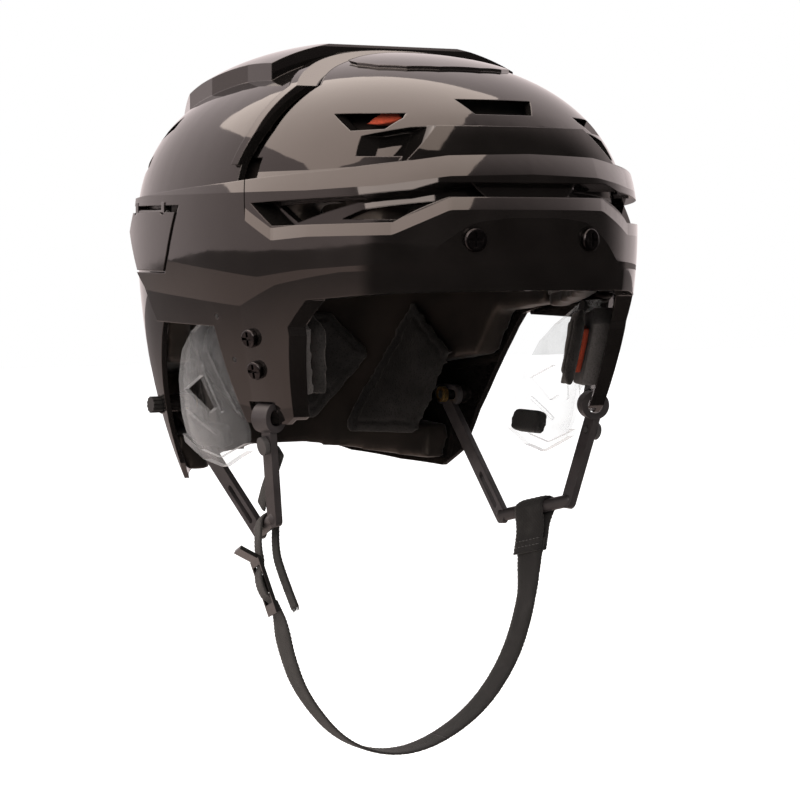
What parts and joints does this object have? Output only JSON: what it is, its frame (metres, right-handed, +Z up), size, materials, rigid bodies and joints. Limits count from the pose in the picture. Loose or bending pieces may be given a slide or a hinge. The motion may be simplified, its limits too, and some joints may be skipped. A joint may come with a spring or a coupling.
{
  "type": "ice hockey helmet",
  "caption": "Ice hockey helmet in two sliding halves with side latches, clear ear guards, foam liners, hinged ear loops and a webbing chin strap with a slide buckle.",
  "frame": {"origin": "centre of the head opening, level with the lower edge of the brow", "axes": "+Z up, the face looks along -Y, +X is the wearer's left"},
  "size_m": [0.223, 0.2731, 0.337],
  "materials": {
    "shell": "glossy black moulded shell",
    "latch": "glossy black",
    "steel": "plain steel",
    "black_steel": "black coated",
    "rack": "matt black",
    "clear": "clear moulded plastic",
    "foam": "satin black moulded foam",
    "grey_foam": "grey moulded foam",
    "orange_foam": "bright orange foam",
    "pad": "black padded fabric",
    "loop": "dark grey flexible plastic",
    "knob": "knurled black",
    "brass": "plain brass",
    "webbing": "woven black webbing",
    "buckle": "black moulded"
  },
  "bodies": {
    "front_half": {"front_shell": "shell", "brow_screws": "black_steel", "brow_nuts": "steel", "front_liner": "foam", "brow_pad": "pad", "crown_pad": "pad", "temple_screws_left": "black_steel", "temple_screws_right": "black_steel", "temple_nuts_left": "steel", "temple_nuts_right": "steel", "latch_pin_left": "steel", "latch_pin_right": "steel", "ear_guard_left": "clear", "ear_guard_right": "clear", "ear_guard_pegs_left": "rack", "ear_guard_pegs_right": "rack", "ear_guard_pad_left": "foam", "ear_guard_pad_right": "foam", "side_pad_left": "pad", "side_pad_right": "pad", "temple_block_left": "grey_foam", "temple_block_right": "grey_foam", "temple_insert_left": "orange_foam", "temple_insert_right": "orange_foam", "temple_cushion_left": "pad", "temple_cushion_right": "pad", "vent_insert_left": "orange_foam", "vent_insert_right": "orange_foam"},
    "rear_half": {"rear_shell": "shell", "guide_pegs": "rack", "rear_liner": "foam", "nape_pad": "pad", "length_rack_left": "rack", "length_rack_right": "rack", "rear_post_left": "knob", "rear_post_right": "knob", "post_insert_left": "brass", "post_insert_right": "brass", "rear_pad_left": "pad", "rear_pad_right": "pad"},
    "latch_left_body": {"latch_left": "latch"},
    "latch_right_body": {"latch_right": "latch"},
    "loop_left": {"ear_loop_left": "loop", "loop_button_left": "rack", "strap_wrap": "webbing", "chin_strap": "webbing"},
    "loop_right": {"ear_loop_right": "loop", "loop_button_right": "rack", "strap_loop": "webbing", "hook_web": "webbing"},
    "buckle": {"strap_buckle": "buckle"}
  },
  "joints": [
    {"name": "length_slide", "type": "slide", "parent": "front_half", "child": "rear_half", "axis": [0, 1, 0], "range_m": [-0.006, 0.006]},
    {"name": "latch_left_hinge", "type": "hinge", "parent": "front_half", "child": "latch_left_body", "pos_m": [0.10683, 0.02609, 0.038], "axis": [0.1094, -0.994, 0], "range_deg": [0, 50]},
    {"name": "latch_right_hinge", "type": "hinge", "parent": "front_half", "child": "latch_right_body", "pos_m": [-0.10683, 0.02609, 0.038], "axis": [0.1094, 0.994, 0], "range_deg": [0, 50]},
    {"name": "loop_left_swing", "type": "hinge", "parent": "front_half", "child": "loop_left", "pos_m": [0.08874, -0.05398, -0.05428], "axis": [0.1138, -0.9935, 0], "range_deg": [-5, 5], "deforming": ["chin_strap"]},
    {"name": "loop_right_swing", "type": "hinge", "parent": "front_half", "child": "loop_right", "pos_m": [-0.08874, -0.05398, -0.05428], "axis": [0.1138, 0.9935, 0], "range_deg": [-5, 5]},
    {"name": "buckle_slide", "type": "slide", "parent": "loop_right", "child": "buckle", "axis": [0.345, 0, -0.9386], "range_m": [-0.006, 0.006], "deforming": ["strap_loop"]}
  ]
}
